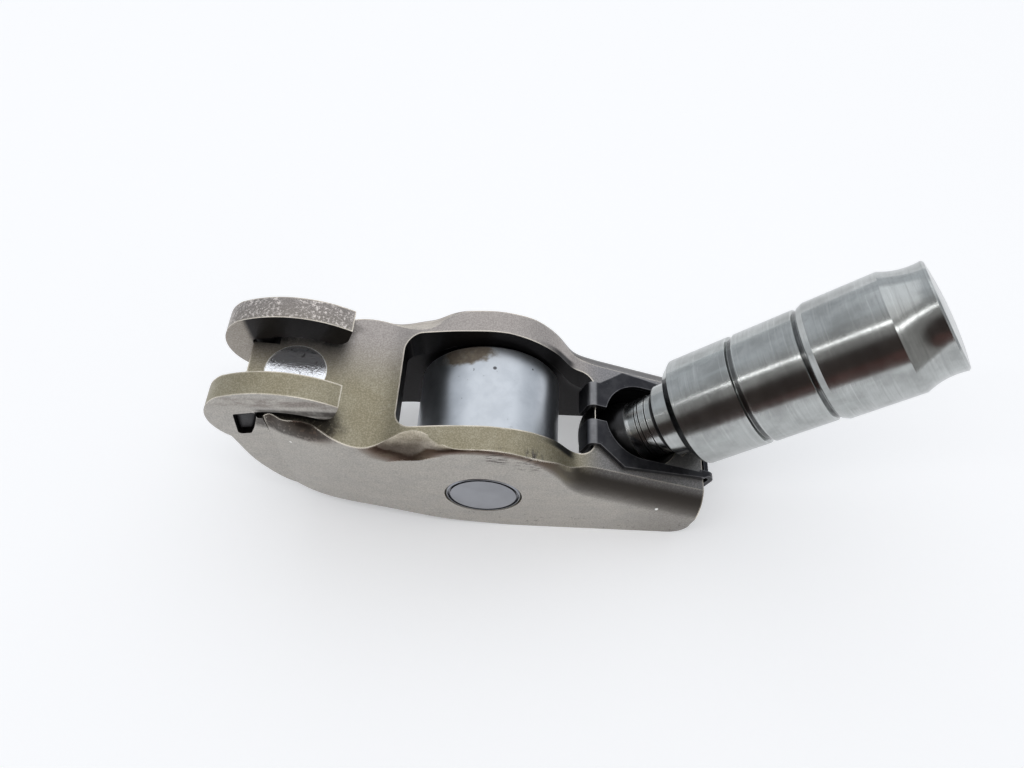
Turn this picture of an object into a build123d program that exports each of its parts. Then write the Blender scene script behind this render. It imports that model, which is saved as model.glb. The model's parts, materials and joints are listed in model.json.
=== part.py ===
from build123d import *
from math import asin, atan2, cos, degrees, hypot, pi, radians, sin, sqrt, tan
import os

os.makedirs("parts", exist_ok=True)

# Roller finger follower with its hydraulic lash adjuster, lying on its cam side.
# Origin: centre of the cam roller, on the axle axis.
# +X runs along the arm to the adjuster socket, +Y along the axle, +Z up, on the valve side.

# ------------------------------------------------------------------ roller and axle, mm
axle_r = 4.0
axle_chamfer = 0.25
axle_face_r = 3.4           # plain face inside the staked ring
stake_groove = 0.3
stake_depth = 0.25
needle_r = 1.0
needle_count = 15
needle_half = 4.7
needle_tip = 0.15           # chamfer of the needles' ends
bearing_play = 0.05         # radial clearance of the needles, inside and outside
roller_wall = 1.5           # thickness of the roller's ring
roller_half = 5.3
roller_crown = 0.35         # edge chamfer of the roller
orbit_r = axle_r + bearing_play + needle_r
bearing_r = orbit_r + needle_r + bearing_play
roller_r = bearing_r + roller_wall

# ------------------------------------------------------------------ arm body sizes, mm
sheet = 2.5                 # pressed sheet thickness
roller_side_play = 0.6      # between the roller and each wall
window_play = 0.2           # between the roller and the edges of its window
wall_out = roller_half + roller_side_play + sheet
nose_out = 5.6              # outer half width of the hooks at the valve end
pad_front_x = -23.65        # front edge of the valve pad
hook_x = -21.0              # where the straight hook plates meet the drawn channel
wall_full_x = -4.0          # where the walls reach their full width
arm_end_x = 23.1            # socket end of the arm, at the web
arm_end_lean = 0.9          # the walls' ends fall back this much towards their feet
arm_end_corner = 2.3        # rounded lower corner of the wall ends
foot_x = 9.0                # the walls' feet are straight from here on
foot_z = -roller_r          # the arm lies on its roller and on these feet
channel_step = 1.55         # spacing of the sections that the drawn channel is lofted through
overrun = 1.0               # how far a cut runs past what it cuts
reach = 60.0                # longer than anything in the part

# the belly: (x, height above the feet) of the walls' lower edge, from the chin back
belly = [(-24.3, 8.6), (-23.1, 5.6), (-21.1, 2.9), (-18.8, 2.0), (-15.6, 2.05), (-11.7, 2.4), (-7.8, 1.95),
         (-3.9, 0.95), (0.5, 0.3)]

# the web, seen from the side
pad_x = -18.95              # centre of the valve contact spot
pad_z = 9.3
pad_tilt = 5.0              # degrees, the pad falls towards the roller
pad_bend_x = -17.0          # where the pad starts to dip
pad_dip = 0.032             # how fast it dips, 1/mm
shelf_foot_x = -13.5        # where the web starts to climb to the rails
shelf_x = -6.4              # where it has climbed
shelf_z = 9.0
rail_r = 9.6                # the rails' top is an arc about the axle axis
rail_arc = 75.0             # degrees of that arc; beyond it the form runs on straight
web_tilt = 20.3             # degrees, the socket web falls towards the arm's end
web_blend = 0.25            # softness of the corner between rail and socket web

# the shoulder, where the web turns into the walls: how far its crease lies inside the wall
shoulder_min = 0.22
hook_dent = (-16.3, 0.95, 7.0, 2.4)     # x, depth, reach forwards, reach back: under the ears
pinch = (-6.6, 2.1, 5.6, 4.6)           # the same for the pinched notch before the roller
pinch_bulge = 0.25          # the pinched faces are nearly flat; elsewhere they round into the wall
heel_x = (4.5, 11.5)        # the shoulder widens again towards the socket
heel_depth = 1.95
# and how far it falls to the wall: (x, fall)
shoulder_falls = [(-21, 3.0), (-16, 2.5), (-12.5, 1.8), (-6.6, 1.75), (-2.5, 0.7), (4, 0.8), (11.5, 3.3)]

# the window over the roller
window_x = (-8.6, 11.3)
window_half = roller_half + window_play
window_taper_x = 2.0
window_half_end = 4.85
window_corner = 1.8

# the hooks that guide the valve stem
ear_end = (-13.25, 12.0)
ear_crest = (-20.2, 13.98)
ear_front = (-24.4, 13.0)
nose_tip = (-26.6, 9.3)
nose_low = (-25.2, 5.6)
slot_left_x = -21.5
slot_left_z = 10.6
slot_mid = (-18.3, 10.6)
slot_right = (-15.4, 9.7)
ear_toe = (-13.85, 10.6)
ear_toe_r = 1.5
relief = [(-24.3, 6.1), (-23.75, 10.0), (-21.2, 10.6), (-22.3, 7.6), (-22.9, 6.4)]
relief_corner = 0.35
spot_r = 3.0                # polished contact spot on the pad
spot_depth = 0.04

# ------------------------------------------------------------------ socket and clip, mm
ball_x = 15.0
ball_z = -1.5
ball_depth = 3.05           # ball centre below the top of the web
ball_r = 3.75
socket_play = 0.1
dome_sheet = 1.3
dome_hole_r = 0.6
mouth_height = 0.9          # the socket mouth opens out above this height
mouth_r = 5.0
lean = 32.7                 # degrees from square to the web, leaning on its stop
lean_heading = 9.1          # degrees sideways from the arm's centre line
lean_play = 0.2             # gap between the leaning adjuster and its relief

clip_t = 0.5
clip_seat = 0.06            # play between the clip and the web
clip_open_r = 4.35
clip_open_u = 0.3
clip_open_end_u = 7.0       # the opening runs on to here, for the adjuster to lean in
clip_shoulder_u = -2.0      # distances along the web from the foot of the ball centre
clip_shoulder_half = 5.7
clip_front_half = 3.7
clip_front_u = -4.7
clip_tail_u = 7.4
clip_tail_half = 4.95
clip_slit = 0.85            # half width of the slit between the two front fingers
finger_roll_u = -5.15        # centre of the fingers' roll
finger_roll_r = 0.8
finger_drop = 1.9
strap_half = 4.7            # half width of the strap that hooks over the arm's end
strap_notch_half = 4.1      # cut out of its roll, so that the adjuster can lean over it
strap_notch_depth = 1.35
strap_roll_u = 7.8
strap_roll_r = 1.0
strap_drop = 1.4
strap_toe = 0.45

# ------------------------------------------------------------------ lash adjuster, mm from the ball centre
neck_r = 3.3
neck_groove_s = (3.0, 3.42, 4.2)
neck_groove_w = 0.24
neck_groove_depth = 0.2
collar_s = 5.25
collar_r = 3.9
collar_bevel = 0.15
plunger_r = 4.2
plunger_shoulder_s = 8.75
plunger_end_s = 13.6
bore_play = 0.05
reservoir_r = 2.3
oil_hole_r = 0.6
mouth_s = 7.45              # the housing's mouth
mouth_face_r = 5.1
mouth_bevel = 0.8
barrel_r = 5.75
feed_groove = (14.7, 15.2)
feed_groove_depth = 0.35
groove_bevel = 0.12
step_groove = (21.45, 21.75)
step_groove_depth = 0.2
step_bevel = 0.7
guide_r = 6.0               # the 12 mm barrel that runs in the cylinder head
guide_end_s = 29.4
waist_r = 5.36
waist_s = 31.4
rim_r = 5.35
rim_s = 33.1
rim_bevel = 0.2
end_dome = 0.35
bore_end_s = 30.4
ring_s = (8.1, 8.7)
ring_wire_r = 0.3
ring_gap = 40.0             # degrees left open in the retaining ring
piston_end_s = 22.0
piston_floor = 1.5
valve_hole_r = 1.0
check_ball_r = 1.3
check_lift = 0.3
cage_r = 2.2
cage_wall = 0.35
cage_flange_r = 3.75
check_spring_room = 1.2     # left for the check valve spring when its ball is lifted
cage_window_r = 0.55
check_spring_r = 0.75
check_spring_wire = 0.14
check_spring_turns = 3
return_spring_r = 3.3
return_spring_wire = 0.38
return_spring_turns = 4.5
end_play = 0.05
touch_gap = 0.02            # parts that rest on each other are drawn this far apart


# ------------------------------------------------------------------ forms of the arm
def ease(t):
    t = min(max(t, 0.0), 1.0)
    return t * t * (3 - 2 * t)


def hump(x, centre, height, before, after):
    """Smooth hump about a centre, with its own reach on each side."""
    t = (x - centre) / (before if x < centre else after)
    return height * cos(pi / 2 * t) ** 2 if abs(t) < 1 else 0.0


def along(points, x):
    """Height of an eased line through points at x."""
    if x <= points[0][0]:
        return points[0][1]
    for (x0, z0), (x1, z1) in zip(points, points[1:]):
        if x <= x1:
            return z0 + (z1 - z0) * ease((x - x0) / (x1 - x0))
    return points[-1][1]


def pad_height(x):
    dip = pad_dip * max(x - pad_bend_x, 0.0) ** 2
    return pad_z - tan(radians(pad_tilt)) * (x - pad_x) - dip


def web_height(x):
    rise = ball_depth - (x - ball_x) * sin(radians(web_tilt))
    return ball_z + rise / cos(radians(web_tilt))


def top_height(x):
    """Top of the sheet over the arm's length: pad, step, rails, socket web."""
    if x <= shelf_x:
        pad = pad_height(x)
        return pad + (shelf_z - pad) * ease((x - shelf_foot_x) / (shelf_x - shelf_foot_x))
    if x <= 0:
        return rail_r - (rail_r - shelf_z) * (x / shelf_x) ** 2
    steep_x = rail_r * sin(radians(rail_arc))
    foot = min(x, steep_x)
    arc = sqrt(rail_r ** 2 - foot ** 2) - (x - foot) * tan(radians(rail_arc))
    web = web_height(x)
    return (arc + web) / 2 + hypot((arc - web) / 2, web_blend)


def wall_width(x):
    """Outer half width of the channel."""
    t = min((x - hook_x) / (wall_full_x - hook_x), 1.0)
    return nose_out + (wall_out - nose_out) * (1 - (1 - max(t, 0.0)) ** 2)


def shoulder_inset(x):
    """How far the crease of the web lies inside the wall."""
    start = shoulder_min * ease((x - pad_front_x) / (wall_full_x - pad_front_x))
    heel = heel_depth * ease((x - heel_x[0]) / (heel_x[1] - heel_x[0]))
    return shoulder_min / 4 + start + hump(x, *hook_dent) + hump(x, *pinch) + heel


def u_section(x, inward):
    """Outline of the channel at x, moved inward by a sheet's thickness or not at all."""
    wide = wall_width(x) - inward
    high = top_height(x) - inward
    inset = shoulder_inset(x)
    fall = along(shoulder_falls, x)
    low = foot_z - sheet
    # the shoulder is an arc that is tangent to the wall, and flatter in the pinch
    share = tan(atan2(inset, fall) / 2) / 2 * (1 - (1 - pinch_bulge) * hump(x, *pinch) / pinch[1])
    bulge_y = wide - inset / 2 + fall * share
    bulge_z = high - fall / 2 + inset * share
    right_wall = Edge.make_line((x, wide, low), (x, wide, high - fall))
    right_arc = Edge.make_three_point_arc(
        (x, wide, high - fall), (x, bulge_y, bulge_z), (x, wide - inset, high))
    crown = Edge.make_line((x, wide - inset, high), (x, inset - wide, high))
    left_arc = Edge.make_three_point_arc(
        (x, inset - wide, high), (x, -bulge_y, bulge_z), (x, -wide, high - fall))
    left_wall = Edge.make_line((x, -wide, high - fall), (x, -wide, low))
    floor = Edge.make_line((x, -wide, low), (x, wide, low))
    return Face(Wire([right_wall, right_arc, crown, left_arc, left_wall, floor]))


def drawn_form(inward, x0, x1):
    """Channel form between two places along the arm."""
    sections = int((arm_end_x + overrun - hook_x) / channel_step) + 1
    xs = [hook_x + i * (arm_end_x + overrun - hook_x) / sections for i in range(sections + 1)]
    body = loft([u_section(x, inward) for x in xs])
    if x0 < hook_x:
        body += loft([u_section(x0, inward), u_section(hook_x, inward)], ruled=True)
    return body & Pos((x0 + x1) / 2, 0, 0) * Box(x1 - x0, reach, reach)


def side_keep():
    """Side outline that the walls are trimmed to: chin, belly, feet and wall ends."""
    r = arm_end_corner
    low_x = arm_end_x - arm_end_lean
    edge = Spline([nose_low, *[(x, foot_z + rise) for x, rise in belly], (foot_x, foot_z)],
                  tangents=[(0.25, -1), (1, 0)])
    foot = Line((foot_x, foot_z), (low_x - r, foot_z))
    heel = CenterArc((low_x - r, foot_z + r), r, 270, 90)
    end = Polyline((low_x, foot_z + r), (arm_end_x, web_height(arm_end_x)), (arm_end_x, reach),
                   (-reach, reach), (-reach, nose_low[1]), nose_low)
    outline = make_face(Wire([*edge.edges(), *foot.edges(), *heel.edges(), *end.edges()]))
    return extrude(Plane.XZ * outline, reach, both=True)


def hook_face():
    """Side view of one hook: nose, ear strip and the front of the wall."""
    wall_top = top_height(hook_x)
    top = ThreePointArc(ear_end, ear_crest, ear_front)
    nose = ThreePointArc(ear_front, nose_tip, nose_low)
    chin = Polyline(nose_low, (nose_low[0], foot_z), (hook_x, foot_z), (hook_x, wall_top),
                    (slot_left_x, wall_top), (slot_left_x, slot_left_z))
    under = ThreePointArc((slot_left_x, slot_left_z), slot_mid, slot_right)
    toe = RadiusArc(slot_right, ear_toe, -ear_toe_r)
    end = Line(ear_toe, ear_end)
    return make_face(Wire([*top.edges(), *nose.edges(), *chin.edges(), *under.edges(), *toe.edges(),
                           *end.edges()]))


def web_frame(u=0.0, height=0.0):
    """Plane on the socket web: x along the arm, z out of the web, above the ball centre."""
    n = Vector(sin(radians(web_tilt)), 0, cos(radians(web_tilt)))
    along = Vector(cos(radians(web_tilt)), 0, -sin(radians(web_tilt)))
    origin = Vector(ball_x, 0, ball_z) + n * (ball_depth + height) + along * u
    return Plane(origin=origin, x_dir=along, z_dir=n)


def lifter_axis(angle):
    """Direction of the adjuster at an angle from square to the web."""
    web = web_frame()
    side = web.x_dir * cos(radians(lean_heading)) + web.y_dir * sin(radians(lean_heading))
    return web.z_dir * cos(radians(angle)) + side * sin(radians(angle))


def lifter_frame(angle=lean):
    return Plane(origin=(ball_x, 0, ball_z), x_dir=(0, 1, 0), z_dir=lifter_axis(angle))


def turned(*rs):
    """Solid turned from points given as (radius, distance along the axis)."""
    outline = make_face(Polyline(*rs, close=True))
    return revolve(Plane.XZ * outline, Axis.Z)


def make_arm_body():
    shell = drawn_form(0, pad_front_x, arm_end_x)
    shell -= drawn_form(sheet, pad_front_x - overrun, arm_end_x + overrun)
    plate = extrude(Plane.XZ * hook_face(), sheet)
    near = Pos(0, -nose_out + sheet, 0) * plate
    far = Pos(0, nose_out, 0) * plate
    shell = (shell + near + far) & side_keep()
    hole = fillet(make_face(Polyline(*relief, close=True)).vertices(), relief_corner)
    for y in (-nose_out + sheet, nose_out + overrun):
        shell -= Pos(0, y, 0) * extrude(Plane.XZ * hole, sheet + overrun)
    left, right = window_x
    window = make_face(Polyline(
        (left, -window_half), (window_taper_x, -window_half), (right, -window_half_end),
        (right, window_half_end), (window_taper_x, window_half), (left, window_half), close=True))
    ends = window.vertices().group_by(Axis.X)
    shell -= extrude(fillet(ends[0] + ends[-1], window_corner), reach)
    # socket dome, drawn down out of the web
    web = web_frame()
    ball = Pos(ball_x, 0, ball_z)
    dome_r = ball_r + socket_play + dome_sheet
    collar = web * Pos(0, 0, -(ball_depth + sheet) / 2) * Cylinder(dome_r, ball_depth - sheet)
    shell += (ball * Sphere(dome_r) + collar) & drawn_form(sheet / 2, 0, arm_end_x)
    shell -= ball * Sphere(ball_r + socket_play)
    mouth = turned((0, -ball_depth), (ball_r + socket_play, -ball_depth),
                   (ball_r + socket_play, mouth_height - ball_depth), (mouth_r, 0), (mouth_r, ball_r),
                   (0, ball_r))
    shell -= web * mouth
    shell -= web * Pos(0, 0, -ball_depth - dome_r) * Cylinder(dome_hole_r, dome_r)
    # relief that the leaning adjuster comes to rest in
    play = lean_play
    stop = turned((0, 0), (neck_r + play, 0), (neck_r + play, collar_s - play),
                  (collar_r + play, collar_s - play), (collar_r + play, mouth_s - play),
                  (barrel_r + play, mouth_s - play), (barrel_r + play, reach), (0, reach))
    shell -= lifter_frame() * stop
    shell -= Rot(90, 0, 0) * Cylinder(axle_r, reach)
    spot = Plane(origin=(pad_x, 0, pad_z), z_dir=(sin(radians(pad_tilt)), 0, cos(radians(pad_tilt))))
    shell -= spot * Cylinder(spot_r, 2 * spot_depth)
    return shell


# ------------------------------------------------------------------ roller, axle, needles
def along_axle(part):
    return Rot(90, 0, 0) * part


def make_roller_axle():
    half = wall_out
    axle = turned((0, -half), (axle_r - axle_chamfer, -half), (axle_r, axle_chamfer - half),
                  (axle_r, half - axle_chamfer), (axle_r - axle_chamfer, half), (0, half))
    for z in (-half, half):
        groove = Pos(0, 0, z) * (Cylinder(axle_face_r + stake_groove, 2 * stake_depth)
                                 - Cylinder(axle_face_r, 2 * stake_depth))
        axle -= groove
    return along_axle(axle)


def make_cam_roller():
    c = roller_crown
    return along_axle(turned(
        (bearing_r, -roller_half), (roller_r - c, -roller_half), (roller_r, c - roller_half),
        (roller_r, roller_half - c), (roller_r - c, roller_half), (bearing_r, roller_half)))


def make_needle(i):
    turn = Rot(0, 0, 360 / needle_count * i)
    tip = needle_tip
    needle = turned((0, -needle_half), (needle_r - tip, -needle_half), (needle_r, tip - needle_half),
                    (needle_r, needle_half - tip), (needle_r - tip, needle_half), (0, needle_half))
    return along_axle(turn * Pos(orbit_r, 0, 0) * needle)


# ------------------------------------------------------------------ clip
def roll_profile(centre_u, radius, drop, toe, direction):
    """Strip section that turns down over an edge and may hook back under it."""
    inner = radius - clip_t
    top = clip_seat + clip_t - radius
    low = top - drop
    far = centre_u + direction * radius
    near = centre_u + direction * inner
    half = direction * sin(pi / 4)
    outer_arc = ThreePointArc((centre_u, top + radius),
                              (centre_u + half * radius, top + radius * cos(pi / 4)), (far, top))
    inner_arc = ThreePointArc((near, top),
                              (centre_u + half * inner, top + inner * cos(pi / 4)), (centre_u, top + inner))
    hook = near - direction * toe
    leg = [(far, top), (far, low)]
    if toe:
        leg += [(hook, low), (hook, low + clip_t), (near, low + clip_t), (near, top)]
    else:
        leg += [(near, low), (near, top)]
    close = Line((centre_u, top + inner), (centre_u, top + radius))
    return make_face(Wire([*outer_arc.edges(), *Polyline(*leg).edges(), *inner_arc.edges(),
                           *close.edges()]))


def make_retaining_clip():
    outline = make_face(Polyline(
        (finger_roll_u, -clip_front_half), (clip_front_u, -clip_front_half),
        (clip_shoulder_u, -clip_shoulder_half), (clip_tail_u, -clip_tail_half),
        (strap_roll_u, -strap_half), (strap_roll_u, strap_half), (clip_tail_u, clip_tail_half),
        (clip_shoulder_u, clip_shoulder_half), (clip_front_u, clip_front_half),
        (finger_roll_u, clip_front_half), close=True))
    run_on = Pos(clip_open_end_u / 2, 0) * Rectangle(clip_open_end_u, 2 * clip_open_r)
    run_on += Pos(strap_roll_u, 0) * Rectangle(4 * strap_roll_r, 2 * strap_notch_half)
    slit_reach = clip_open_u - finger_roll_u
    slit = Pos(finger_roll_u + slit_reach / 2, 0) * Rectangle(slit_reach, 2 * clip_slit)
    plate = extrude(outline - Pos(clip_open_u, 0) * Circle(clip_open_r) - run_on - slit, clip_t)
    clip = Pos(0, 0, clip_seat) * plate
    finger = roll_profile(finger_roll_u, finger_roll_r, finger_drop, 0, -1)
    finger_w = clip_front_half - clip_slit
    for low in (-clip_front_half, clip_slit):
        clip += Pos(0, low + finger_w, 0) * extrude(Plane.XZ * finger, finger_w)
    strap = roll_profile(strap_roll_u, strap_roll_r, strap_drop, strap_toe, 1)
    strap = Pos(0, strap_half, 0) * extrude(Plane.XZ * strap, 2 * strap_half)
    notch = Box(4 * strap_roll_r, 2 * strap_notch_half, 2 * strap_notch_depth)
    strap -= Pos(strap_roll_u + strap_roll_r, 0, clip_seat + clip_t) * notch
    return web_frame() * (clip + strap)


# ------------------------------------------------------------------ lash adjuster
def make_ball_plunger():
    start_s = sqrt(ball_r ** 2 - neck_r ** 2)
    body = Sphere(ball_r) + turned(
        (0, 0), (neck_r, 0), (neck_r, collar_s), (collar_r - collar_bevel, collar_s),
        (collar_r, collar_s + collar_bevel),
        (collar_r, plunger_shoulder_s), (plunger_r, plunger_shoulder_s), (plunger_r, plunger_end_s),
        (0, plunger_end_s))
    for s in neck_groove_s:
        half = neck_groove_w / 2
        body -= turned((neck_r - neck_groove_depth, s - half / 2), (neck_r + overrun, s - half),
                       (neck_r + overrun, s + half), (neck_r - neck_groove_depth, s + half / 2))
    oil = turned((0, -ball_r - 1), (oil_hole_r, -ball_r - 1), (oil_hole_r, start_s),
                 (reservoir_r, start_s + reservoir_r - oil_hole_r), (reservoir_r, plunger_end_s + 1),
                 (0, plunger_end_s + 1))
    return lifter_frame() * (body - oil)


def make_adjuster_housing():
    b = groove_bevel
    deep = barrel_r - feed_groove_depth
    step = barrel_r - step_groove_depth
    bore = plunger_r + bore_play
    ring_room = collar_r + bore_play + 2 * ring_wire_r
    sketch = [
        (collar_r + bore_play, mouth_s), (mouth_face_r, mouth_s), (barrel_r, mouth_s + mouth_bevel),
        (barrel_r, feed_groove[0] - b), (deep, feed_groove[0]), (deep, feed_groove[1]),
        (barrel_r, feed_groove[1] + b), (barrel_r, step_groove[0] - b), (step, step_groove[0]),
        (step, step_groove[1]), (barrel_r, step_groove[1] + b), (guide_r, step_groove[1] + step_bevel),
        (guide_r, guide_end_s)]
    outer = Polyline(*sketch)
    waist = Spline([(guide_r, guide_end_s), (waist_r, waist_s),
                    (rim_r, rim_s)])
    edge_r = rim_r - rim_bevel
    crown_r = (edge_r ** 2 + end_dome ** 2) / (2 * end_dome)
    crown_s = rim_s + rim_bevel + end_dome
    dome = ThreePointArc((edge_r, rim_s + rim_bevel),
                         (edge_r / 2, crown_s - crown_r + sqrt(crown_r ** 2 - edge_r ** 2 / 4)), (0, crown_s))
    edge = Line((rim_r, rim_s), (edge_r, rim_s + rim_bevel))
    inner = Polyline((0, crown_s), (0, bore_end_s), (bore, bore_end_s),
                     (bore, ring_s[1]), (ring_room, ring_s[1]), (ring_room, ring_s[0]),
                     (collar_r + bore_play, ring_s[0]), (collar_r + bore_play, mouth_s))
    outline = make_face(Wire([*outer.edges(), *waist.edges(), *edge.edges(), *dome.edges(),
                              *inner.edges()]))
    housing = revolve(Plane.XZ * outline, Axis.Z)
    feed_s = (feed_groove[0] + feed_groove[1]) / 2
    feed = Pos(0, 0, feed_s) * Rot(0, 90, 0) * Pos(0, 0, guide_r) * Cylinder(oil_hole_r / 2, 2 * guide_r)
    return lifter_frame() * (housing - feed)


def make_retaining_ring():
    mid_r = collar_r + bore_play + ring_wire_r
    path = CenterArc((0, 0), mid_r, ring_gap / 2, 360 - ring_gap)
    wire_r = ring_wire_r - touch_gap
    start = Plane(origin=path @ 0, z_dir=path % 0)
    ring = sweep(start * Circle(wire_r), path=path)
    return lifter_frame() * Pos(0, 0, (ring_s[0] + ring_s[1]) / 2) * ring


def make_leakdown_piston():
    top = plunger_end_s + end_play
    body = turned((reservoir_r, top), (plunger_r, top), (plunger_r, piston_end_s),
                  (valve_hole_r, piston_end_s), (valve_hole_r, piston_end_s - piston_floor),
                  (reservoir_r, piston_end_s - piston_floor))
    return lifter_frame() * body


check_ball_s = piston_end_s + sqrt(check_ball_r ** 2 - valve_hole_r ** 2) + touch_gap
cage_end_s = check_ball_s + check_ball_r + check_lift + check_spring_room + cage_wall


def make_check_ball():
    return lifter_frame() * Pos(0, 0, check_ball_s) * Sphere(check_ball_r)


def make_valve_cage():
    w = cage_wall
    top = piston_end_s + end_play / 2
    inner = cage_r - w
    cage = turned((inner, top), (cage_flange_r, top), (cage_flange_r, top + w), (cage_r, top + w),
                  (cage_r, cage_end_s), (0, cage_end_s), (0, cage_end_s - w), (inner, cage_end_s - w))
    for i in range(3):
        window = Rot(0, 0, 120 * i) * Pos(cage_r, 0, (top + cage_end_s) / 2) * Rot(0, 90, 0)
        cage -= window * Cylinder(cage_window_r, 2 * cage_r)
    return lifter_frame() * cage


def coil(radius, wire, turns, s0, s1):
    """Compression spring between two seats, wound about the adjuster's axis."""
    low = s0 + wire + touch_gap
    high = s1 - wire - touch_gap
    path = Helix(pitch=(high - low) / turns, height=high - low, radius=radius)
    start = Plane(origin=path @ 0, z_dir=path % 0)
    spring = sweep(start * Circle(wire), path=path, is_frenet=True)
    return lifter_frame() * Pos(0, 0, low) * spring


def make_check_spring():
    return coil(check_spring_r, check_spring_wire, check_spring_turns,
                check_ball_s + check_ball_r, cage_end_s - cage_wall)


def make_return_spring():
    return coil(return_spring_r, return_spring_wire, return_spring_turns,
                piston_end_s + end_play / 2 + cage_wall, bore_end_s)


# ------------------------------------------------------------------ write the parts
parts = {
    "arm_body": make_arm_body(),
    "roller_axle": make_roller_axle(),
    "cam_roller": make_cam_roller(),
    "retaining_clip": make_retaining_clip(),
    "ball_plunger": make_ball_plunger(),
    "adjuster_housing": make_adjuster_housing(),
    "retaining_ring": make_retaining_ring(),
    "leakdown_piston": make_leakdown_piston(),
    "check_ball": make_check_ball(),
    "check_valve_cage": make_valve_cage(),
    "check_spring": make_check_spring(),
    "return_spring": make_return_spring(),
}
for i in range(needle_count):
    parts[f"needle_roller_{i + 1:02d}"] = make_needle(i)

for name, part in parts.items():
    export_step(part, f"parts/{name}.step")
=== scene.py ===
"""Rocker arm with its roller and lash adjuster: steel finishes with painted shade and highlights, lumps of
painted shade in the relief slots, stage, lights and camera.
"""
import json
import math

import bmesh
import bpy
import numpy as np
from mathutils import Matrix, Vector


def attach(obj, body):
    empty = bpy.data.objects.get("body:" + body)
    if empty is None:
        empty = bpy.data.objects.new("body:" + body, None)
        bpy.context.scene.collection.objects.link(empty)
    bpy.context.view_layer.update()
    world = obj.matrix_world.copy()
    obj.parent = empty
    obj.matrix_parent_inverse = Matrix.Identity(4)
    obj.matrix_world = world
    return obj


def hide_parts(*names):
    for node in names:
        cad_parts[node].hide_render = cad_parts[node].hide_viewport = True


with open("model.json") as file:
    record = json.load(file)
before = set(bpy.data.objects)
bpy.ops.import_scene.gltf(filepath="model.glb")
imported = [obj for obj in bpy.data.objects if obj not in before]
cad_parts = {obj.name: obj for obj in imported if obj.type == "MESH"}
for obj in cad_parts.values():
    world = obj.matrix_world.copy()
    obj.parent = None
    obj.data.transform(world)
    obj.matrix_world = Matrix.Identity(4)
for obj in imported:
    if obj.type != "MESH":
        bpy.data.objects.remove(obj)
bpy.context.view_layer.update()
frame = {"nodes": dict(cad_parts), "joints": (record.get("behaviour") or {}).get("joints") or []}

bl_info = {
    "name": "Rocker Arm Finishes",
    "version": (1, 0, 0),
    "blender": (4, 5, 0),
    "location": "3D View > Sidebar > Rocker Arm",
    "description": "Steel finishes with painted shade and highlights, slot lumps of painted shade, stage and light for a roller rocker arm and its adjuster",
    "category": "Object",
}

MM = 0.001
MERGE_DISTANCE = 1e-6               # corners that round to the same multiple of this, in metres, are one

# the adjuster's ball and the line it turns about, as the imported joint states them
SPIN = next(joint for joint in frame["joints"] if joint["name"] == "adjuster_spin")
BALL = tuple(SPIN["pos_m"])
AXIS = tuple(SPIN["axis"])

# places in millimetres; Y is negative on the near side
SLOT_OUTLINE = [(-24.3, 6.1), (-23.75, 10.0), (-21.2, 10.6), (-22.3, 7.6), (-22.9, 6.4)]    # X and Z
SLOT_SHADE_SPANS = {"slot_shade_near": (-5.2, -3.4), "slot_shade_far": (3.4, 5.2)}               # Y from and to
PAD_SPOT = (-18.95, 0.0, 9.3)
NEAR_SCRATCHES = (((1.6, -8.4, 8.5), 0.7, 0.8), ((4.7, -8.4, 7.6), 0.9, 1.0))   # centre, reach, soft rim
NEAR_CHIPS = (((18.1, -8.3, -1.8), 0.13, 0.08), ((-19.0, -6.2, 6.0), 0.10, 0.08))
ROLLER_SPECKS = (((0.73, 2.42, 7.56), 0.15, 0.09), ((4.6, 3.4, 6.05), 0.07, 0.06))
BARREL_GROOVES = ((14.78, 15.08), (21.48, 21.68))       # along the adjuster, from its ball

# tints of small marks, of painted highlights and shade, and of hidden pieces
CHIP_WHITE = (0.95, 0.95, 0.93)
SPOT_RIM_HIGHLIGHT = (0.98, 0.98, 0.98)
GROOVE_SHADE = (0.03, 0.028, 0.03)
STAIN_PALE = (0.26, 0.22, 0.16)
SPECK_BLACK = (0.035, 0.03, 0.035)
ROLLER_EDGE_HIGHLIGHT = (0.95, 0.96, 0.97)
BARREL_LINE = (0.66, 0.67, 0.66)
BARREL_DRAWN = (0.50, 0.54, 0.53)
BARREL_EDGE_HIGHLIGHT = (0.93, 0.94, 0.93)
NECK_RIM_HIGHLIGHT = (0.85, 0.86, 0.85)
SLOT_SHADE_CRUST = (0.06, 0.055, 0.055)
CLIP_EDGE_HIGHLIGHT = (0.22, 0.22, 0.23)
CLIP_GRAIN = (0.16, 0.16, 0.17)
CLIP_FOLD_HIGHLIGHT = (0.26, 0.26, 0.27)
NEEDLE_STEEL = (0.6, 0.61, 0.63)
INNER_STEEL = (0.5, 0.5, 0.52)

# the room: its tints, and the directions in which they lie
WHITE = (1.0, 1.0, 1.0)
FLOOR_WHITE = (0.985, 0.99, 1.0)
PALE_WALL = (0.86, 0.90, 0.95)
SHADED_WALL = (0.46, 0.45, 0.44)
CARD_BROWN = (0.070, 0.055, 0.050)
GLOW_RED = (0.17, 0.085, 0.075)
TO_SHADED_WALL = (0.0, -0.80, 0.60)
TO_CARD = (-0.363, -0.876, 0.307)
TO_GLOW = (-0.10, -0.97, 0.22)

# which way the camera's right and its back point
CAMERA_RIGHT = (0.99889, 0.04716, 0.0)
CAMERA_BACK = (0.0250, -0.5297, 0.8478)


def mm(*values):
    """Millimetres turned to metres."""
    return tuple(value * MM for value in values)


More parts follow.
